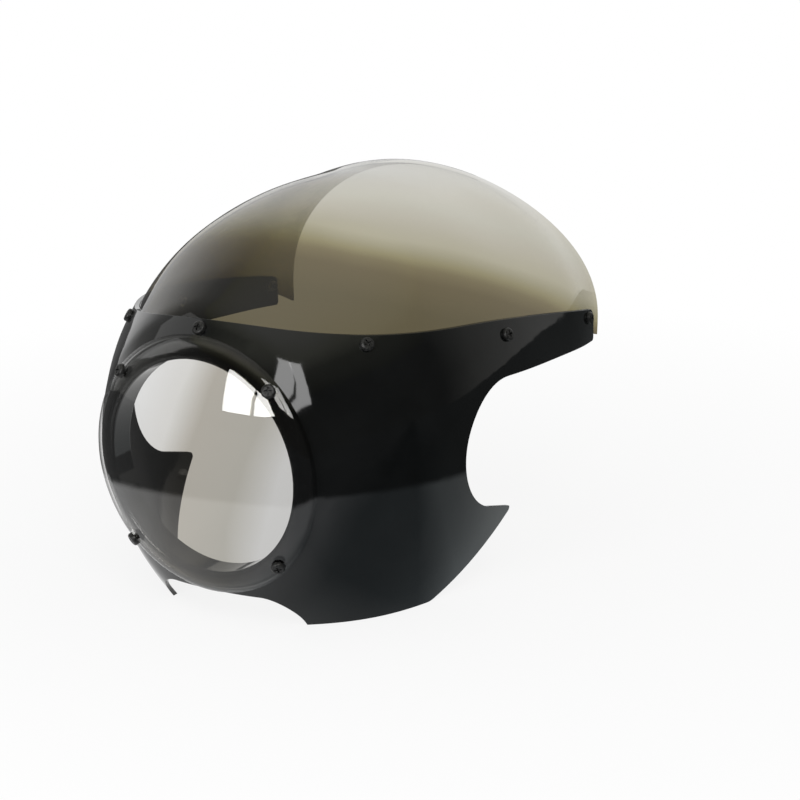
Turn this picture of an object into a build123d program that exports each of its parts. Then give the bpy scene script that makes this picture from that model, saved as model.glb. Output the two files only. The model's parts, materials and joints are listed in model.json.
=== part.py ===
"""Headlight cowl for a motorbike.

A moulded shell with a round lamp opening, a smoked bubble screen fixed inside its upper edge,
and a clear domed cover screwed over the lamp opening.

Millimetres. The origin is the middle of the lamp opening, where its straight wall starts behind the lip.
+X is the bike's left side, +Y points rearward and +Z up, so the cowl faces -Y.
"""

import os
from math import atan2, cos, degrees, hypot, radians, sin

from build123d import *

# Lamp opening and the round nose about it
opening_radius = 80.0
collar_depth = 18.0
shell_wall = 3.2
crest_inner_bend = 0.8
seat_bend = 21.0
seat_start_slope = 22.0
seat_end_slope = 58.0

# Body: its length to the wings' ends and its size at the crown. Each other section has a share of the growth
# from the nose's rim to the crown: share of the half width, of the top and of the bottom
body_length = 327.0
crown_at = 206.0
crown_half_width = 165.5
crown_top = 180.5
crown_bottom = -233.0
brow_at = 20.0
brow_shares = (0.175, 0.212, 0.25)
cheek_at = 71.0
cheek_shares = (0.635, 0.559, 0.665)
middle_at = 126.0
middle_shares = (0.914, 0.859, 0.855)
tail_margin = 29.0
tail_shares = (0.893, 0.935, 1.095)
waist_rise = 0.137
section_steps = 3

# Upper edge of the shell, seen from the side: its front above the nose's rim, then its drop from there
seam_front_at = 8.0
seam_front_rise = 13.5
seam_cheek_at = 38.0
seam_cheek_drop = 10.4
seam_middle_at = 146.0
seam_middle_drop = 22.7
seam_rear_at = 246.0
seam_rear_drop = 36.6
wing_end_drop = 51.7
wing_end_depth = 26.0
wing_top_corner = 7.0
wing_low_corner = 3.0

# Handlebar cut-out and the lower edges of the shell
notch_at = 163.0
notch_height = -7.0
notch_radius = 50.4
tip_at = 185.0
tip_height = -66.5
tip_corner = 3.0
heel_at = 112.0
heel_corner = 8.0
sole_height = -125.0
arch_half_width = 62.0
arch_top = -98.5
arch_corner = 24.0

# Windscreen
screen_thickness = 3.0
screen_gap = 0.2
screen_tucks = (15.0, 18.0, 22.0)
screen_foot_reach = 18.0
screen_rear_lean = 38.0
screen_rear_bow = 14.0

# Lens cover
lens_thickness = 2.5
lens_gap = 0.2
lens_edge_margin = 0.5

# Screws, washers and nuts
head_diameter = 10.4
head_height = 3.2
head_round = 1.8
recess_span = 5.4
recess_width = 1.3
recess_depth = 1.7
screen_screw_diameter = 5.0
lens_screw_diameter = 4.2
hole_clearance = 0.5
head_seat_gap = 0.15
thread_clearance = 0.2
screen_screw_shares = (0.17, 0.53, 0.96)
screen_screw_drops = (6.5, 11.0, 7.0)
front_screw_drop = 4.5
washer_diameter = 12.0
washer_thickness = 1.2
washer_seat_gap = 0.2
nut_across_flats = 8.0
nut_height = 4.0
stack_gap = 0.05
screw_end = 1.5
lens_screw_count = 4
lens_screw_first_angle = 45.0
lens_screw_slope = 37.0
lens_screw_end = 1.5

# Derived from the sizes above
tail_at = body_length + tail_margin
crest_bend = shell_wall + crest_inner_bend
crest_centre = (opening_radius + crest_bend, 0.0)
reach = 2 * max(tail_at, crown_half_width, crown_top)


def around(centre, distance, angle):
    """Point of the nose section (radius, Y) this far from a centre, at an angle off -Y."""
    turn = radians(angle)
    return centre[0] + distance * sin(turn), centre[1] - distance * cos(turn)


# The seat's arc carries on from the crest's arc
seat_centre = around(crest_centre, crest_bend - seat_bend, seat_start_slope)
seat_middle_slope = (seat_start_slope + seat_end_slope) / 2
crest_middle_slope = (seat_start_slope - 90) / 2
seat_rim_radius, seat_rim_at = around(seat_centre, seat_bend, seat_end_slope)


def section(place, shares):
    """A section of the body: its place, half width, top and bottom."""
    crown = (crown_half_width, crown_top, crown_bottom)
    rim = (seat_rim_radius, seat_rim_radius, -seat_rim_radius)
    return place, *(low + share * (high - low) for low, high, share in zip(rim, crown, shares))


sections = [
    section(seat_rim_at, (0, 0, 0)),
    section(brow_at, brow_shares),
    section(cheek_at, cheek_shares),
    section(middle_at, middle_shares),
    section(crown_at, (1, 1, 1)),
    section(tail_at, tail_shares),
]


def slope_of(index, column):
    """Slope of the body's line at a section, along the chord between the sections beside it."""
    before = max(index - 1, 0)
    after = min(index + 1, len(sections) - 1)
    chord = (sections[after][column] - sections[before][column]) / (sections[after][0] - sections[before][0])
    if after - before == 2:
        return chord
    inner = after if index == before else before
    return 1.5 * chord - 0.5 * slope_of(inner, column)


def body_line(index, share, column):
    """Size and slope of the body's line at a share of the way from a section to the next."""
    start, end = sections[index], sections[index + 1]
    span = end[0] - start[0]
    start_slope = slope_of(index, column) * span
    end_slope = slope_of(index + 1, column) * span
    rise = end[column] - start[column]
    bend = start_slope + end_slope - 2 * rise
    turn = 3 * rise - 2 * start_slope - end_slope
    size = start[column] + start_slope * share + turn * share**2 + bend * share**3
    slope = (start_slope + 2 * turn * share + 3 * bend * share**2) / span
    return size, slope


def skin(depth):
    """Solid bounded by the body's skin, moved inward by depth as measured square to the skin."""
    spans = range(len(sections) - 1)
    places = [(index, step / section_steps) for index in spans for step in range(section_steps)]
    places.append((spans[-1], 1))
    with BuildPart() as body:
        for index, share in places:
            y = sections[index][0] + share * (sections[index + 1][0] - sections[index][0])
            waist = waist_rise * (y - seat_rim_at)
            half_width, above, below = (
                abs(size) - depth * hypot(1, slope)
                for size, slope in (body_line(index, share, column) for column in (1, 2, 3))
            )
            with BuildSketch(Plane.XZ.offset(-y)):
                with BuildLine():
                    EllipticalCenterArc((0, waist), half_width, above - waist, 0, arc_size=180)
                    EllipticalCenterArc((0, waist), half_width, below + waist, 180, arc_size=180)
                make_face()
        loft()
    return body.part


def tangent_point(start, centre, radius, turn):
    """Where the line from start touches the circle, on the side given by turn (1 or -1)."""
    across, up = centre[0] - start[0], centre[1] - start[1]
    distance = hypot(across, up)
    length = (distance**2 - radius**2) ** 0.5
    angle = atan2(up, across) + turn * atan2(radius, length)
    return start[0] + length * cos(angle), start[1] + length * sin(angle)


def nearest_corner(sketch, point):
    """The sketch's corner nearest to a point."""
    return sketch.vertices().sort_by_distance(Vector(*point))[0]


outer_skin = skin(0)
shell_inner_skin = skin(shell_wall)
screen_outer_skin = skin(shell_wall + screen_gap)
screen_inner_skin = skin(shell_wall + screen_gap + screen_thickness)

# The seam is the shell's upper edge from the side
seam_front_height = seat_rim_radius + seam_front_rise
seam_points = [
    (seam_front_at, seam_front_height),
    (seam_cheek_at, seam_front_height - seam_cheek_drop),
    (seam_middle_at, seam_front_height - seam_middle_drop),
    (seam_rear_at, seam_front_height - seam_rear_drop),
    (body_length, seam_front_height - wing_end_drop),
]
wing_low_point = (body_length, seam_points[-1][1] - wing_end_depth)
seam_line = Spline(*seam_points)


def screen_screw_planes():
    """Planes square to the skin at the screen's screws, with Z outward: the front one, then each side."""
    height = seam_line.position_at(0.03).Y - front_screw_drop
    rays = [Axis((0, -reach, height), (0, 1, 0))]
    for share, drop in zip(screen_screw_shares, screen_screw_drops):
        place = seam_line.position_at(share)
        for side in (1, -1):
            rays.append(Axis((side * reach, place.X, place.Y - drop), (-side, 0, 0)))
    planes = []
    for ray in rays:
        hits = outer_skin.find_intersection_points(ray)
        point, normal = min(hits, key=lambda hit: (hit[0] - ray.position).length)
        planes.append(Plane(origin=point + normal * head_seat_gap, z_dir=normal))
    return planes


def depth_to(solid, plane):
    """Distance from the plane's origin, inward, to the nearest face of the solid."""
    hits = solid.find_intersection_points(Axis(plane.origin, plane.z_dir))
    return min((point - plane.origin).length for point, normal in hits)


screen_planes = screen_screw_planes()
screen_stack = max(depth_to(screen_inner_skin, plane) for plane in screen_planes) + washer_seat_gap

# Lens screws stand square to the seat
lens_screw_outward = radians(lens_screw_slope)
lens_screw_radius, lens_screw_at = around(
    seat_centre, seat_bend + lens_gap + lens_thickness + head_seat_gap, lens_screw_slope
)
lens_planes = []
for index in range(lens_screw_count):
    angle = radians(lens_screw_first_angle + 360 / lens_screw_count * index)
    across = Vector(cos(angle), 0, sin(angle))
    lens_planes.append(
        Plane(
            origin=across * lens_screw_radius + Vector(0, lens_screw_at, 0),
            z_dir=across * sin(lens_screw_outward) - Vector(0, cos(lens_screw_outward), 0),
        )
    )

# Shell: hollow body, nose with its collar, trimmed from the side and below the lens
wing_tangent = tangent_point(wing_low_point, (notch_at, notch_height), notch_radius, -1)
tip_tangent = tangent_point((tip_at, tip_height), (notch_at, notch_height), notch_radius, 1)

with BuildPart() as fairing_shell:
    add(outer_skin)
    add(shell_inner_skin, mode=Mode.SUBTRACT)
    with BuildSketch() as nose_section:
        with BuildLine():
            collar_front = (opening_radius, 0)
            collar_rear = (opening_radius, collar_depth)
            collar_back = (opening_radius + shell_wall, collar_depth)
            collar_root = (opening_radius + shell_wall, 0)
            seat_outer = [
                around(seat_centre, seat_bend, slope)
                for slope in (seat_start_slope, seat_middle_slope, seat_end_slope)
            ]
            seat_inner = [
                around(seat_centre, seat_bend - shell_wall, slope)
                for slope in (seat_end_slope, seat_middle_slope, seat_start_slope)
            ]
            Line(collar_rear, collar_front)
            ThreePointArc(collar_front, around(crest_centre, crest_bend, crest_middle_slope), seat_outer[0])
            ThreePointArc(*seat_outer)
            Line(seat_outer[-1], seat_inner[0])
            ThreePointArc(*seat_inner)
            crest_inner_middle = around(crest_centre, crest_inner_bend, crest_middle_slope)
            ThreePointArc(seat_inner[-1], crest_inner_middle, collar_root)
            Line(collar_root, collar_back)
            Line(collar_back, collar_rear)
        make_face()
    revolve(axis=Axis.Y)
    with BuildSketch(Plane.YZ) as side_outline:
        with BuildLine():
            Line((-reach, seam_front_height), seam_points[0])
            Spline(*seam_points)
            Line(seam_points[-1], wing_low_point)
            Line(wing_low_point, wing_tangent)
            ThreePointArc(wing_tangent, (notch_at - notch_radius, notch_height), tip_tangent)
            Line(tip_tangent, (tip_at, tip_height))
            Line((tip_at, tip_height), (heel_at, sole_height))
            Line((heel_at, sole_height), (-reach, sole_height))
            Line((-reach, sole_height), (-reach, seam_front_height))
        make_face()
        fillet(nearest_corner(side_outline.sketch_local, seam_points[-1]), wing_top_corner)
        fillet(nearest_corner(side_outline.sketch_local, wing_low_point), wing_low_corner)
        fillet(nearest_corner(side_outline.sketch_local, (tip_at, tip_height)), tip_corner)
        fillet(nearest_corner(side_outline.sketch_local, (heel_at, sole_height)), heel_corner)
    extrude(amount=reach, both=True, mode=Mode.INTERSECT)
    with BuildSketch(Plane.XZ) as arch_outline:
        with Locations((0, arch_top)):
            Rectangle(2 * arch_half_width, reach, align=(Align.CENTER, Align.MAX))
        fillet(arch_outline.vertices().group_by(Axis.Y)[-1], arch_corner)
    extrude(amount=reach, both=True, mode=Mode.SUBTRACT)
    with Locations(*screen_planes):
        Cylinder((screen_screw_diameter + hole_clearance) / 2, 2 * screen_stack, mode=Mode.SUBTRACT)
    with Locations(*lens_planes):
        Cylinder(
            (lens_screw_diameter + thread_clearance) / 2,
            3 * (lens_thickness + shell_wall),
            mode=Mode.SUBTRACT,
        )

# Windscreen: a layer against the inside of the shell, up to its own rear edge
screen_foot = (body_length + screen_foot_reach, wing_low_point[1])
screen_rear_top = (screen_foot[0] - screen_rear_lean, crown_top)
screen_rear_middle = (
    (screen_foot[0] + screen_rear_top[0]) / 2 + screen_rear_bow,
    (screen_foot[1] + screen_rear_top[1]) / 2,
)
screen_lower_points = [(place, height - tuck) for (place, height), tuck in zip(seam_points, screen_tucks)]
screen_lower_points.append(screen_foot)

with BuildPart() as windscreen:
    add(screen_outer_skin)
    add(screen_inner_skin, mode=Mode.SUBTRACT)
    with BuildSketch(Plane.YZ) as screen_outline:
        with BuildLine():
            Line((-reach, screen_lower_points[0][1]), screen_lower_points[0])
            Spline(*screen_lower_points)
            ThreePointArc(screen_foot, screen_rear_middle, screen_rear_top)
            Line(screen_rear_top, (screen_rear_top[0], reach))
            Line((screen_rear_top[0], reach), (-reach, reach))
            Line((-reach, reach), (-reach, screen_lower_points[0][1]))
        make_face()
    extrude(amount=reach, both=True, mode=Mode.INTERSECT)
    with Locations(*screen_planes):
        Cylinder((screen_screw_diameter + hole_clearance) / 2, 4 * screen_stack, mode=Mode.SUBTRACT)

# Lens cover: its rim follows the seat, and a shallow dome carries on from there
lens_inner_bend = seat_bend + lens_gap
lens_outer_bend = lens_inner_bend + lens_thickness
lens_end_slope = seat_end_slope - degrees(lens_edge_margin / lens_outer_bend)


def lens_face(bend):
    """Points of one face of the lens cover, from its rim to its top: two arcs of three points, one shared."""
    slopes = (lens_end_slope, (lens_end_slope + seat_start_slope) / 2, seat_start_slope)
    points = [around(seat_centre, bend, slope) for slope in slopes]
    dome_radius, dome_at = points[-1]
    ball = dome_radius / sin(radians(seat_start_slope))
    ball_centre = (0, dome_at + ball * cos(radians(seat_start_slope)))
    points += [around(ball_centre, ball, slope) for slope in (seat_start_slope / 2, 0)]
    return points


with BuildPart() as lens_cover:
    with BuildSketch():
        with BuildLine():
            inner_face = lens_face(lens_inner_bend)
            outer_face = lens_face(lens_outer_bend)
            for face in (inner_face, outer_face):
                ThreePointArc(*face[:3])
                ThreePointArc(*face[2:])
            Line(inner_face[0], outer_face[0])
            Line(inner_face[-1], outer_face[-1])
        make_face()
    revolve(axis=Axis.Y)
    with Locations(*lens_planes):
        Cylinder((lens_screw_diameter + hole_clearance) / 2, 4 * lens_thickness, mode=Mode.SUBTRACT)


def pan_screw(diameter, length):
    """Pan-head screw with a cross recess: head above Z 0, shank below."""
    with BuildPart() as screw:
        Cylinder(head_diameter / 2, head_height, align=(Align.CENTER, Align.CENTER, Align.MIN))
        fillet(screw.edges().group_by(Axis.Z)[-1], head_round)
        Cylinder(diameter / 2, length, align=(Align.CENTER, Align.CENTER, Align.MAX))
        chamfer(screw.edges().group_by(Axis.Z)[0], diameter / 8)
        with BuildSketch(Plane.XY.offset(head_height)):
            Rectangle(recess_span, recess_width)
            Rectangle(recess_width, recess_span)
        extrude(amount=-recess_depth, mode=Mode.SUBTRACT)
    return screw.part


screen_screw = pan_screw(
    screen_screw_diameter,
    screen_stack + washer_thickness + nut_height + 2 * stack_gap + screw_end,
)
lens_screw = pan_screw(lens_screw_diameter, lens_thickness + lens_gap + shell_wall + lens_screw_end)

with BuildPart() as windscreen_screws:
    with Locations(*screen_planes):
        add(screen_screw)

with BuildPart() as lens_screws:
    with Locations(*lens_planes):
        add(lens_screw)

# Washers and nuts sit behind the screen, on the screws
washer_planes = [
    plane.offset(-depth_to(screen_inner_skin, plane) - washer_seat_gap) for plane in screen_planes
]

with BuildPart() as windscreen_washers:
    with Locations(*washer_planes):
        Cylinder(
            washer_diameter / 2,
            washer_thickness,
            align=(Align.CENTER, Align.CENTER, Align.MAX),
        )
        Cylinder((screen_screw_diameter + hole_clearance) / 2, 4 * washer_thickness, mode=Mode.SUBTRACT)

nut_planes = [plane.offset(-washer_thickness - stack_gap) for plane in washer_planes]

with BuildPart() as hex_nut:
    with BuildSketch():
        RegularPolygon(nut_across_flats / 2, 6, major_radius=False)
        Circle((screen_screw_diameter + thread_clearance) / 2, mode=Mode.SUBTRACT)
    extrude(amount=-nut_height)

with BuildPart() as windscreen_nuts:
    with Locations(*nut_planes):
        add(hex_nut.part)

# Write one file for each node
nodes = {
    "fairing_shell": fairing_shell,
    "windscreen": windscreen,
    "lens_cover": lens_cover,
    "windscreen_screws": windscreen_screws,
    "windscreen_washers": windscreen_washers,
    "windscreen_nuts": windscreen_nuts,
    "lens_screws": lens_screws,
}
os.makedirs("parts", exist_ok=True)
for name, node in nodes.items():
    node.part.label = name
    export_step(node.part, f"parts/{name}.step")
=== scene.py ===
"""Looks of the headlight cowl: finishes, camera, floor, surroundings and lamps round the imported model."""

import json
import math

import bpy
from mathutils import Matrix, Vector


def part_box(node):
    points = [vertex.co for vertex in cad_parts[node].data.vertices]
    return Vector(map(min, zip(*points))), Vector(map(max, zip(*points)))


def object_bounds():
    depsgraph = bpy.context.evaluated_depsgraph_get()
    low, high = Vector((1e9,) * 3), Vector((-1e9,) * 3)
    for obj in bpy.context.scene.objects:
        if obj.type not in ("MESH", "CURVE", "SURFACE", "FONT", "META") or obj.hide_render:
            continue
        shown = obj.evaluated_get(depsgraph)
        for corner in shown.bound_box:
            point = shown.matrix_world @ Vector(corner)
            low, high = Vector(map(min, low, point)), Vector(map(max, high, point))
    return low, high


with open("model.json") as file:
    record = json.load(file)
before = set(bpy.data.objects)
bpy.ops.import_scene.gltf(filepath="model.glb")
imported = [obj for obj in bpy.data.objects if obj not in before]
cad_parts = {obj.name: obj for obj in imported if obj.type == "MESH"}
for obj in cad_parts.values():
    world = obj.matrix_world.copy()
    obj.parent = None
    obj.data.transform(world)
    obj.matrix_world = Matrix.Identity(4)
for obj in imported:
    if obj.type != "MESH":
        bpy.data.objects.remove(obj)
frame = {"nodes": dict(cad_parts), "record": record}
cad_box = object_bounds()
nodes = frame["nodes"]
scene = bpy.context.scene
scene.view_settings.view_transform = "Standard"

# Places on the object, in metres
floor_z = cad_box[0][2]
shell_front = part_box("fairing_shell")[0][1]
lens_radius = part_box("lens_cover")[1][2]
opening_radius = frame["record"]["mounts"][0]["dims"]["r_mm"] / 1000.0

# Camera as in the photograph, with its slight roll: degrees, metres, and millimetres of lens and sensor
camera_azimuth = math.radians(31.26)
camera_elevation = math.radians(16.73)
camera_roll = math.radians(-1.97)
camera_distance = 1.2942
camera_lens = 81.0
camera_sensor = 36.0
camera_clip_start = 0.05
# Where the middle of the shell's front lies in the picture, in metres from the picture's middle
front_right = -0.1450
front_up = -0.0490

# Clear sheets: their gloss takes some light away, which the tint makes up for
tint_gain = 1.06
screen_index = 1.49
lens_index = 1.586
# Width of the lens cover's sawn edge, on which painted shade darkens outwards, and of its darkest part, in
# metres
sawn_edge = 0.0019
sawn_edge_painted_darkest = 0.0002

# Floor, in metres from the point under the middle of the object
floor_size = 12.0
floor_middle = (0.0, 0.12)
floor_colour = (0.82, 0.82, 0.82)
# Where it is seen, it is this white near the object and fades to full white between these distances
near_white = 0.85
shadow_fade = (0.25, 0.9)
# Where the gloss mirrors it, it glows with painted light, bright near the object, and falls to this level
# between these distances
far_level = 0.12
painted_light_fade = (0.335, 0.36)
# There its left side comes in between these places along X, with a painted shade that runs between these
# along Y
left_floor = (-0.06, 0.12)
shaded_floor = (-0.05, 0.25)

# Level of the surroundings for plain, even light on every surface
even_light = 0.6

white = (1.0, 1.0, 1.0)
black = (0.0, 0.0, 0.0)


def node(tree, kind, inputs=None, **settings):
    """A shader node with its settings. Each input is a plain value or another node's output."""
    made = tree.nodes.new(kind)
    for key, value in settings.items():
        setattr(made, key, value)
    for key, value in (inputs or {}).items():
        socket = made.inputs[key]
        if isinstance(value, bpy.types.NodeSocket):
            tree.links.new(value, socket)
        elif socket.type == "RGBA":
            socket.default_value = (*value, 1.0)
        else:
            socket.default_value = value
    return made


def new_material(name):
    """An empty node material and its node tree."""
    material = bpy.data.materials.new(name)
    material.use_nodes = True
    material.node_tree.nodes.clear()
    return material, material.node_tree


def set_surface(tree, shader):
    """Makes a shader the surface of its material."""
    node(tree, "ShaderNodeOutputMaterial", {"Surface": shader})


def object_place(tree):
    """The place on the object, in metres."""
    return node(tree, "ShaderNodeTexCoord").outputs["Object"]


def noise(tree, scale, detail, roughness=0.5):
    """Noise fixed to the object, with its scale in waves to the metre."""
    made = node(tree, "ShaderNodeTexNoise", {
        "Vector": object_place(tree),
        "Scale": scale,
        "Detail": detail,
        "Roughness": roughness,
    })
    return made.outputs["Fac"]


def spread(tree, source, source_range, result_range):
    """Maps a range of values onto another, and holds the ends."""
    made = node(tree, "ShaderNodeMapRange", {
        "Value": source,
        "From Min": source_range[0],
        "From Max": source_range[1],
        "To Min": result_range[0],
        "To Max": result_range[1],
    })
    return made.outputs["Result"]


def ramp(tree, source, stops):
    """A colour that changes with a value from 0 to 1, between stops of (value, colour)."""
    made = node(tree, "ShaderNodeValToRGB", {"Fac": source})
    elements = made.color_ramp.elements
    while len(elements) < len(stops):
        elements.new(0.5)
    for element, (position, colour) in zip(elements, stops):
        element.position = position
        element.color = (*colour, 1.0)
    return made.outputs["Color"]


def ramp_over(tree, source, source_range, stops):
    """A colour that changes over a range of values, between stops of (share of the range, colour)."""
    return ramp(tree, spread(tree, source, source_range, (0.0, 1.0)), stops)


def mix_colours(tree, share, first, second, blend="MIX"):
    """Two colours blended by the second one's share."""
    inputs = {"Factor": share, "A": first, "B": second}
    return node(tree, "ShaderNodeMix", inputs, data_type="RGBA", blend_type=blend).outputs["Result"]


def mix_shaders(tree, share, first, second):
    """Two shaders blended by the second one's share."""
    return node(tree, "ShaderNodeMixShader", {"Fac": share, 1: first, 2: second}).outputs["Shader"]


def calculate(tree, operation, *values):
    """The result of an operation on two or three values."""
    return node(tree, "ShaderNodeMath", dict(enumerate(values)), operation=operation).outputs["Value"]


def soft_edge(tree, radius):
    """The surface's direction, with its edges rounded by a radius in metres."""
    return node(tree, "ShaderNodeBevel", {"Radius": radius}, samples=4).outputs["Normal"]


def bump(tree, height, distance, strength, normal):
    """The surface's direction with bumps, whose height is a distance in metres."""
    made = node(tree, "ShaderNodeBump", {
        "Height": height,
        "Distance": distance,
        "Strength": strength,
        "Normal": normal,
    })
    return made.outputs["Normal"]


def shell_finish():
    """Moulded plastic, black and glossy, with a slight ripple and softened edges."""
    material, tree = new_material("shell_plastic")
    ripple = noise(tree, scale=22.0, detail=1.0)
    smear = noise(tree, scale=55.0, detail=5.0, roughness=0.6)
    shader = node(tree, "ShaderNodeBsdfPrincipled", {
        "Base Color": ramp(tree, noise(tree, scale=30.0, detail=3.0), [
            (0.3, (0.0026, 0.0029, 0.0029)),
            (0.7, (0.0042, 0.0046, 0.0046)),
        ]),
        "Roughness": spread(tree, smear, (0.35, 0.75), (0.045, 0.085)),
        "IOR": 1.5,
        "Normal": bump(tree, ripple, distance=0.001, strength=0.05, normal=soft_edge(tree, radius=0.0007)),
    })
    set_surface(tree, shader.outputs["BSDF"])
    return material


def clear_sheet(tree, index, roughness_range, tint):
    """Clear plastic: what is behind shows through, tinted, under a gloss that grows towards the edges."""
    through = node(tree, "ShaderNodeBsdfTransparent", {"Color": tint})
    haze = noise(tree, scale=75.0, detail=4.0)
    gloss = node(tree, "ShaderNodeBsdfAnisotropic", {
        "Roughness": spread(tree, haze, (0.35, 0.75), roughness_range),
    })
    # A face seen from within has the index turned over, so that both faces of the sheet have the same gloss
    within = node(tree, "ShaderNodeNewGeometry").outputs["Backfacing"]
    face_index = calculate(tree, "MULTIPLY_ADD", within, 1.0 / index - index, index)
    fresnel = node(tree, "ShaderNodeFresnel", {"IOR": face_index})
    return mix_shaders(tree, fresnel.outputs["Fac"], through.outputs["BSDF"], gloss.outputs["BSDF"])


def one_face(shares):
    """Tint of one face of a sheet that lets these shares of red, green and blue light through both."""
    return tuple(min(1.0, tint_gain * share) ** 0.5 for share in shares)


def uneven_place(tree, direction, unevenness):
    """A place on the object along a slanted direction, in metres, made a little uneven."""
    place = object_place(tree)
    along = node(tree, "ShaderNodeVectorMath", {0: place, 1: direction}, operation="DOT_PRODUCT")
    uneven = spread(tree, noise(tree, scale=9.0, detail=2.0), (0.3, 0.7), (-unevenness, unevenness))
    return calculate(tree, "ADD", along.outputs["Value"], uneven)


def screen_finish():
    """Smoked clear plastic, its tint deeper and browner towards the lower front."""
    material, tree = new_material("screen_plastic")
    height = uneven_place(tree, direction=(0.0, 0.43, 1.0), unevenness=0.003)
    # Shares of red, green and blue light let through, by height in metres
    shares_at = [
        (0.148, (0.120, 0.102, 0.060)),
        (0.175, (0.145, 0.120, 0.070)),
        (0.186, (0.195, 0.165, 0.095)),
        (0.193, (0.280, 0.250, 0.145)),
        (0.201, (0.355, 0.330, 0.230)),
        (0.209, (0.435, 0.410, 0.310)),
        (0.228, (0.485, 0.460, 0.380)),
        (0.245, (0.520, 0.505, 0.430)),
        (0.265, (0.545, 0.525, 0.455)),
        (0.288, (0.580, 0.570, 0.520)),
    ]
    low, high = shares_at[0][0], shares_at[-1][0]
    tint = ramp_over(tree, height, (low, high), [
        ((at - low) / (high - low), one_face(shares)) for at, shares in shares_at
    ])
    set_surface(tree, clear_sheet(tree, screen_index, roughness_range=(0.008, 0.025), tint=tint))
    return material


def lens_finish():
    """Clear plastic with a faint warm grey tint; painted shade makes it darker in the middle, painted light
    makes it lighter towards one side, and painted shade makes it dark at its sawn edge.
    """
    material, tree = new_material("lens_plastic")
    across = uneven_place(tree, direction=(1.0, 0.0, -0.35), unevenness=0.004)
    # Painted shade darkens the tint through the middle, and painted light lightens it towards the sides,
    # most towards one side
    tint = ramp_over(tree, across, (-opening_radius, opening_radius), [
        (0.1, one_face((0.78, 0.78, 0.775))),
        (0.34, one_face((0.70, 0.69, 0.665))),
        (0.5, one_face((0.45, 0.425, 0.375))),
        (0.78, one_face((0.43, 0.415, 0.37))),
        (0.96, one_face((0.60, 0.595, 0.585))),
    ])
    place = object_place(tree)
    from_axis = node(tree, "ShaderNodeVectorMath", {0: place, 1: (1.0, 0.0, 1.0)}, operation="MULTIPLY")
    radius = node(tree, "ShaderNodeVectorMath", {0: from_axis.outputs["Vector"]}, operation="LENGTH")
    # Painted shade: the tint darkens towards the lens cover's sawn edge
    edge_range = (lens_radius - sawn_edge, lens_radius - sawn_edge_painted_darkest)
    edge = ramp_over(tree, radius.outputs["Value"], edge_range, [(0.0, white), (1.0, (0.2, 0.2, 0.2))])
    tint_with_painted_edge_shade = mix_colours(tree, 1.0, tint, edge, blend="MULTIPLY")
    set_surface(tree, clear_sheet(tree, lens_index, roughness_range=(0.006, 0.02), tint=tint_with_painted_edge_shade))
    return material


def screw_finish(name):
    """Black coating on steel, a little worn."""
    material, tree = new_material(name)
    coat = noise(tree, scale=900.0, detail=3.0)
    shader = node(tree, "ShaderNodeBsdfPrincipled", {
        "Base Color": ramp(tree, coat, [(0.35, (0.012, 0.012, 0.012)), (0.75, (0.05, 0.05, 0.048))]),
        "Metallic": 0.6,
        "Roughness": spread(tree, coat, (0.3, 0.7), (0.28, 0.45)),
        "Normal": bump(tree, coat, distance=0.0001, strength=0.2, normal=soft_edge(tree, radius=0.0003)),
    })
    set_surface(tree, shader.outputs["BSDF"])
    return material


def grained_finish(name, scale, detail, dark, pale, roughness_range, metallic):
    """A plain material with a fine grain between two colours."""
    material, tree = new_material(name)
    grain = noise(tree, scale, detail)
    shader = node(tree, "ShaderNodeBsdfPrincipled", {
        "Base Color": ramp(tree, grain, [(0.3, dark), (0.7, pale)]),
        "Metallic": metallic,
        "Roughness": spread(tree, grain, (0.3, 0.7), roughness_range),
    })
    set_surface(tree, shader.outputs["BSDF"])
    return material


def washer_finish():
    """Dull black plastic."""
    return grained_finish(
        "washer_plastic",
        scale=700.0,
        detail=3.0,
        dark=(0.03, 0.03, 0.03),
        pale=(0.06, 0.06, 0.058),
        roughness_range=(0.5, 0.65),
        metallic=0.0,
    )


def nut_finish():
    """Plain bright steel."""
    return grained_finish(
        "nut_steel",
        scale=1200.0,
        detail=4.0,
        dark=(0.45, 0.45, 0.44),
        pale=(0.62, 0.61, 0.59),
        roughness_range=(0.25, 0.4),
        metallic=1.0,
    )


def seen_directly(tree):
    """1 for rays that come straight from the camera or through clear plastic, else 0."""
    path = node(tree, "ShaderNodeLightPath").outputs
    return calculate(tree, "MAXIMUM", path["Is Camera Ray"], path["Is Transmission Ray"])


def towards(place, turn, height, far):
    """A point this far from a place, at a turn from -Y towards +X and a height above level, in degrees."""
    turn, height = math.radians(turn), math.radians(height)
    flat = math.cos(height)
    return Vector(place) + far * Vector((flat * math.sin(turn), -flat * math.cos(turn), math.sin(height)))


def add_camera(back):
    """The camera, in a direction given from the object."""
    level_right = Vector((math.cos(camera_azimuth), math.sin(camera_azimuth), 0.0))
    level_up = back.cross(level_right)
    right = math.cos(camera_roll) * level_right + math.sin(camera_roll) * level_up
    up = -math.sin(camera_roll) * level_right + math.cos(camera_roll) * level_up
    front = Vector((0.0, shell_front, 0.0))
    eye = front + camera_distance * back - front_right * right - front_up * up
    camera_data = bpy.data.cameras.new("camera")
    camera_data.lens = camera_lens
    camera_data.sensor_width = camera_sensor
    camera_data.clip_start = camera_clip_start
    camera = bpy.data.objects.new("camera", camera_data)
    camera.matrix_world = Matrix((
        (right.x, up.x, back.x, eye.x),
        (right.y, up.y, back.y, eye.y),
        (right.z, up.z, back.z, eye.z),
        (0.0, 0.0, 0.0, 1.0),
    ))
    scene.collection.objects.link(camera)
    scene.camera = camera


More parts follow.
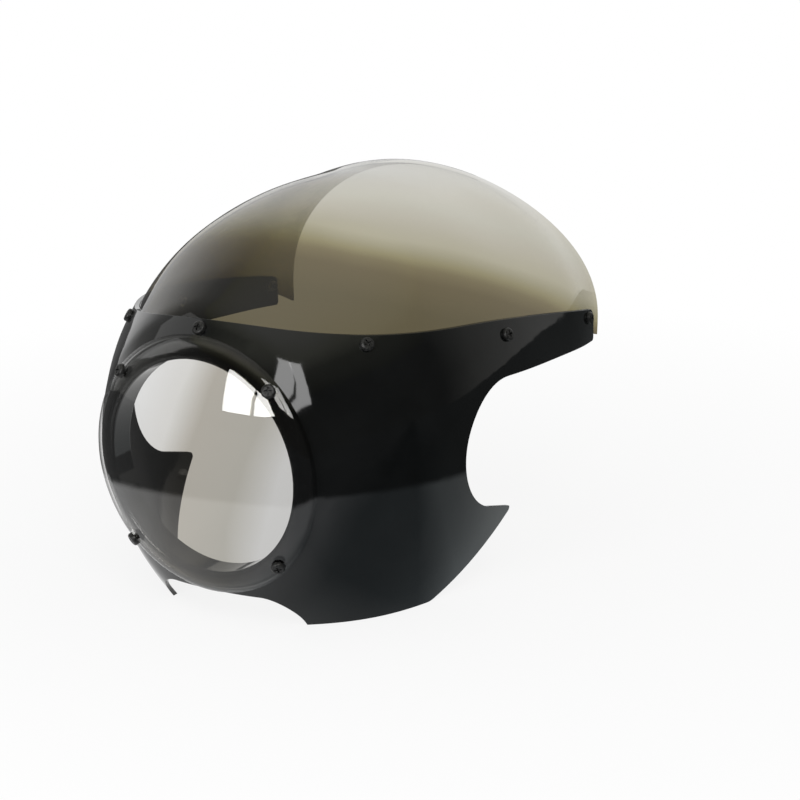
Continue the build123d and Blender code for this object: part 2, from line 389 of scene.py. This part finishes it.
def floor_finish():
    """Pale floor: white where it is seen, but for the object's shadow, and in the gloss a glow of painted
    light and painted shade.
    """
    material, tree = new_material("floor")
    plain = node(tree, "ShaderNodeBsdfDiffuse", {"Color": floor_colour})
    place = node(tree, "ShaderNodeNewGeometry").outputs["Position"]
    middle = (*floor_middle, floor_z)
    away = node(tree, "ShaderNodeVectorMath", {0: place, 1: middle}, operation="DISTANCE").outputs["Value"]
    # In the gloss, painted shade makes the left side of the floor darkest beside the body, where the body
    # shades it
    parts = node(tree, "ShaderNodeSeparateXYZ", {"Vector": place}).outputs
    shade = ramp_over(tree, parts["Y"], shaded_floor, [
        (0.0, (0.58, 0.6, 0.62)),
        (0.22, (0.19, 0.22, 0.235)),
        (0.5, (0.2, 0.23, 0.245)),
        (0.66, (0.5, 0.55, 0.565)),
        (0.95, (0.64, 0.68, 0.685)),
    ])
    left_side = spread(tree, parts["X"], left_floor, (0.0, 1.0))
    mirrored = node(tree, "ShaderNodeVectorMath", {
        0: mix_colours(tree, left_side, white, shade),
        "Scale": spread(tree, away, painted_light_fade, (1.0, far_level)),
    }, operation="SCALE")
    direct = seen_directly(tree)
    level = mix_colours(tree, direct, mirrored.outputs["Vector"], white)
    # The floor glows with this painted light and painted shade where the gloss mirrors it
    painted_glow = node(tree, "ShaderNodeEmission", {"Color": level})
    seen_share = spread(tree, away, shadow_fade, (near_white, 1.0))
    in_gloss = node(tree, "ShaderNodeLightPath").outputs["Is Glossy Ray"]
    share = calculate(tree, "MULTIPLY_ADD", direct, seen_share, in_gloss)
    set_surface(tree, mix_shaders(tree, share, plain.outputs["BSDF"], painted_glow.outputs["Emission"]))
    return material


def add_floor():
    """One flat square under the object."""
    half = floor_size / 2
    corners = [(x, y, floor_z) for x, y in ((-half, -half), (half, -half), (half, half), (-half, half))]
    floor_mesh = bpy.data.meshes.new("floor")
    floor_mesh.from_pydata(corners, [], [(0, 1, 2, 3)])
    floor_mesh.materials.append(floor_finish())
    floor = bpy.data.objects.new("floor", floor_mesh)
    scene.collection.objects.link(floor)


def add_surroundings(back):
    """White where they are seen, even as plain light, and in the gloss dim on the camera's side."""
    world = bpy.data.worlds.new("world")
    scene.world = world
    world.use_nodes = True
    tree = world.node_tree
    tree.nodes.clear()
    direction = node(tree, "ShaderNodeTexCoord").outputs["Generated"]
    behind = Vector((-back.x, -back.y, 0.0)).normalized()
    side = node(tree, "ShaderNodeVectorMath", {0: direction, 1: behind}, operation="DOT_PRODUCT")
    around = ramp_over(tree, side.outputs["Value"], (-1.0, 1.0), [
        (0.0, (0.06, 0.06, 0.058)),
        (0.35, (0.07, 0.07, 0.068)),
        (0.53, (0.3, 0.3, 0.285)),
        (0.78, (0.45, 0.45, 0.44)),
        (0.91, white),
    ])
    above = ramp(tree, node(tree, "ShaderNodeSeparateXYZ", {"Vector": direction}).outputs["Z"], [
        (0.25, black),
        (0.5, (0.06, 0.06, 0.045)),
        (0.7, (0.17, 0.17, 0.135)),
        (0.8, (0.47, 0.47, 0.38)),
        (1.0, (0.8, 0.79, 0.75)),
    ])
    mirrored = mix_colours(tree, 1.0, around, above, blend="LIGHTEN")
    plain = node(tree, "ShaderNodeLightPath").outputs["Is Diffuse Ray"]
    lit = mix_colours(tree, plain, mirrored, (even_light, even_light, even_light))
    colour = mix_colours(tree, seen_directly(tree), lit, white)
    background = node(tree, "ShaderNodeBackground", {"Color": colour})
    node(tree, "ShaderNodeOutputWorld", {"Surface": background.outputs["Background"]})


def add_softbox(name, place, target, width, height, watts):
    """A soft rectangular lamp that faces a target."""
    lamp_data = bpy.data.lights.new(name, "AREA")
    lamp_data.shape = "RECTANGLE"
    lamp_data.size = width
    lamp_data.size_y = height
    lamp_data.energy = watts
    lamp = bpy.data.objects.new(name, lamp_data)
    lamp.location = place
    lamp.rotation_euler = (Vector(target) - Vector(place)).to_track_quat("-Z", "Y").to_euler()
    scene.collection.objects.link(lamp)


def add_lamps():
    """Two tall softboxes above the camera, two low ones that show in the lens cover, and a weak fill."""
    key_target = (0.08, 0.01, 0.06)
    for name, turn in (("key_left", 31.2), ("key_right", 47.3)):
        place = towards(key_target, turn, height=38.0, far=1.5)
        add_softbox(name, place, key_target, width=0.307, height=0.7, watts=3.8)
    low_target = (0.045, -0.012, 0.06)
    for name, turn in (("low_left", -13.5), ("low_right", 0.5)):
        place = towards(low_target, turn, height=12.5, far=1.2)
        add_softbox(name, place, low_target, width=0.26, height=0.31, watts=3.4)
    add_softbox("fill", (-1.8, -0.8, 1.2), (0.0, 0.15, 0.0), width=1.2, height=1.2, watts=3.0)


finishes = {
    "fairing_shell": shell_finish(),
    "windscreen": screen_finish(),
    "lens_cover": lens_finish(),
    "windscreen_screws": screw_finish("screw_black"),
    "windscreen_washers": washer_finish(),
    "windscreen_nuts": nut_finish(),
    "lens_screws": screw_finish("lens_screw_black"),
}
for name, finish in finishes.items():
    for slot in nodes[name].material_slots:
        slot.material = finish

towards_camera = Vector((
    math.sin(camera_azimuth) * math.cos(camera_elevation),
    -math.cos(camera_azimuth) * math.cos(camera_elevation),
    math.sin(camera_elevation),
))
add_camera(towards_camera)
add_floor()
add_surroundings(towards_camera)
add_lamps()
